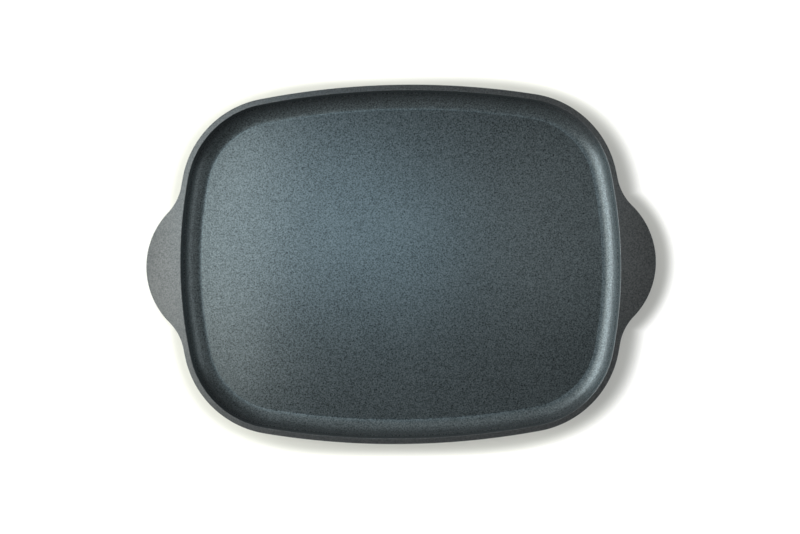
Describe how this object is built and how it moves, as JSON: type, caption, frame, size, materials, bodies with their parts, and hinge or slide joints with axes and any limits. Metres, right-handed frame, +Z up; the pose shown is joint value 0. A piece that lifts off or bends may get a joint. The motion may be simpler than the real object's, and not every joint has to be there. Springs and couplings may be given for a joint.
{
  "type": "teppanyaki griddle",
  "caption": "Low bowed rectangular griddle tray with a flat floor, rounded walls, an ear flush with the rim at each end, and a perforated steel plate let into its base.",
  "frame": {"origin": "on the surface that the griddle stands on, under the middle of the tray", "axes": "+Z up, X along the tray from ear to ear, -Y towards the lower edge of the picture"},
  "size_m": [0.3976, 0.28, 0.025],
  "materials": {
    "coated_aluminium": "fine-grained dark grey non-stick coating; the base ring and the studs are bare machined aluminium",
    "ferritic_steel": "bare ferritic stainless steel, turned flat together with the base"
  },
  "bodies": {
    "root": {"griddle_casting": "coated_aluminium", "induction_plate": "ferritic_steel"}
  },
  "joints": []
}
